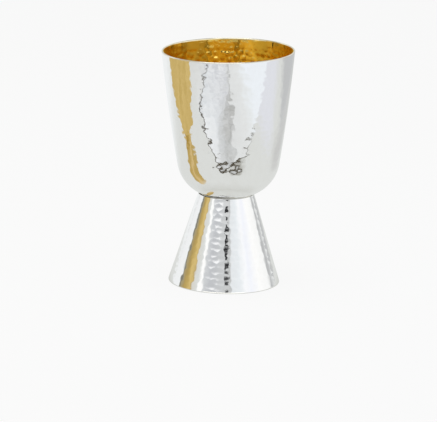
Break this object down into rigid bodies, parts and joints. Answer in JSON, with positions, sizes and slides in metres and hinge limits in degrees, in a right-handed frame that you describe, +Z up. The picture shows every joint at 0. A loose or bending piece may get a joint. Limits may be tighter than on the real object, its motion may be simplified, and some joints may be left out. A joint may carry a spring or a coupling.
{
  "type": "chalice",
  "caption": "Hammered silver chalice: a deep tapering bowl with a rounded bottom and a gilt inside, on a plain hollow conical foot. It holds wine and stands on a table.",
  "frame": {"origin": "on the table, below the middle of the rim", "axes": "+Z up through the chalice; -Y is the side the picture shows; the bowl leans 1.6 degrees towards -X"},
  "size_m": [0.09, 0.09, 0.1613],
  "materials": {
    "silver": "hammered and brightly polished silver",
    "gilding": "hammered and polished gilding on the inside of the bowl"
  },
  "bodies": {
    "root": {"bowl": "silver", "foot": "silver"}
  },
  "joints": []
}
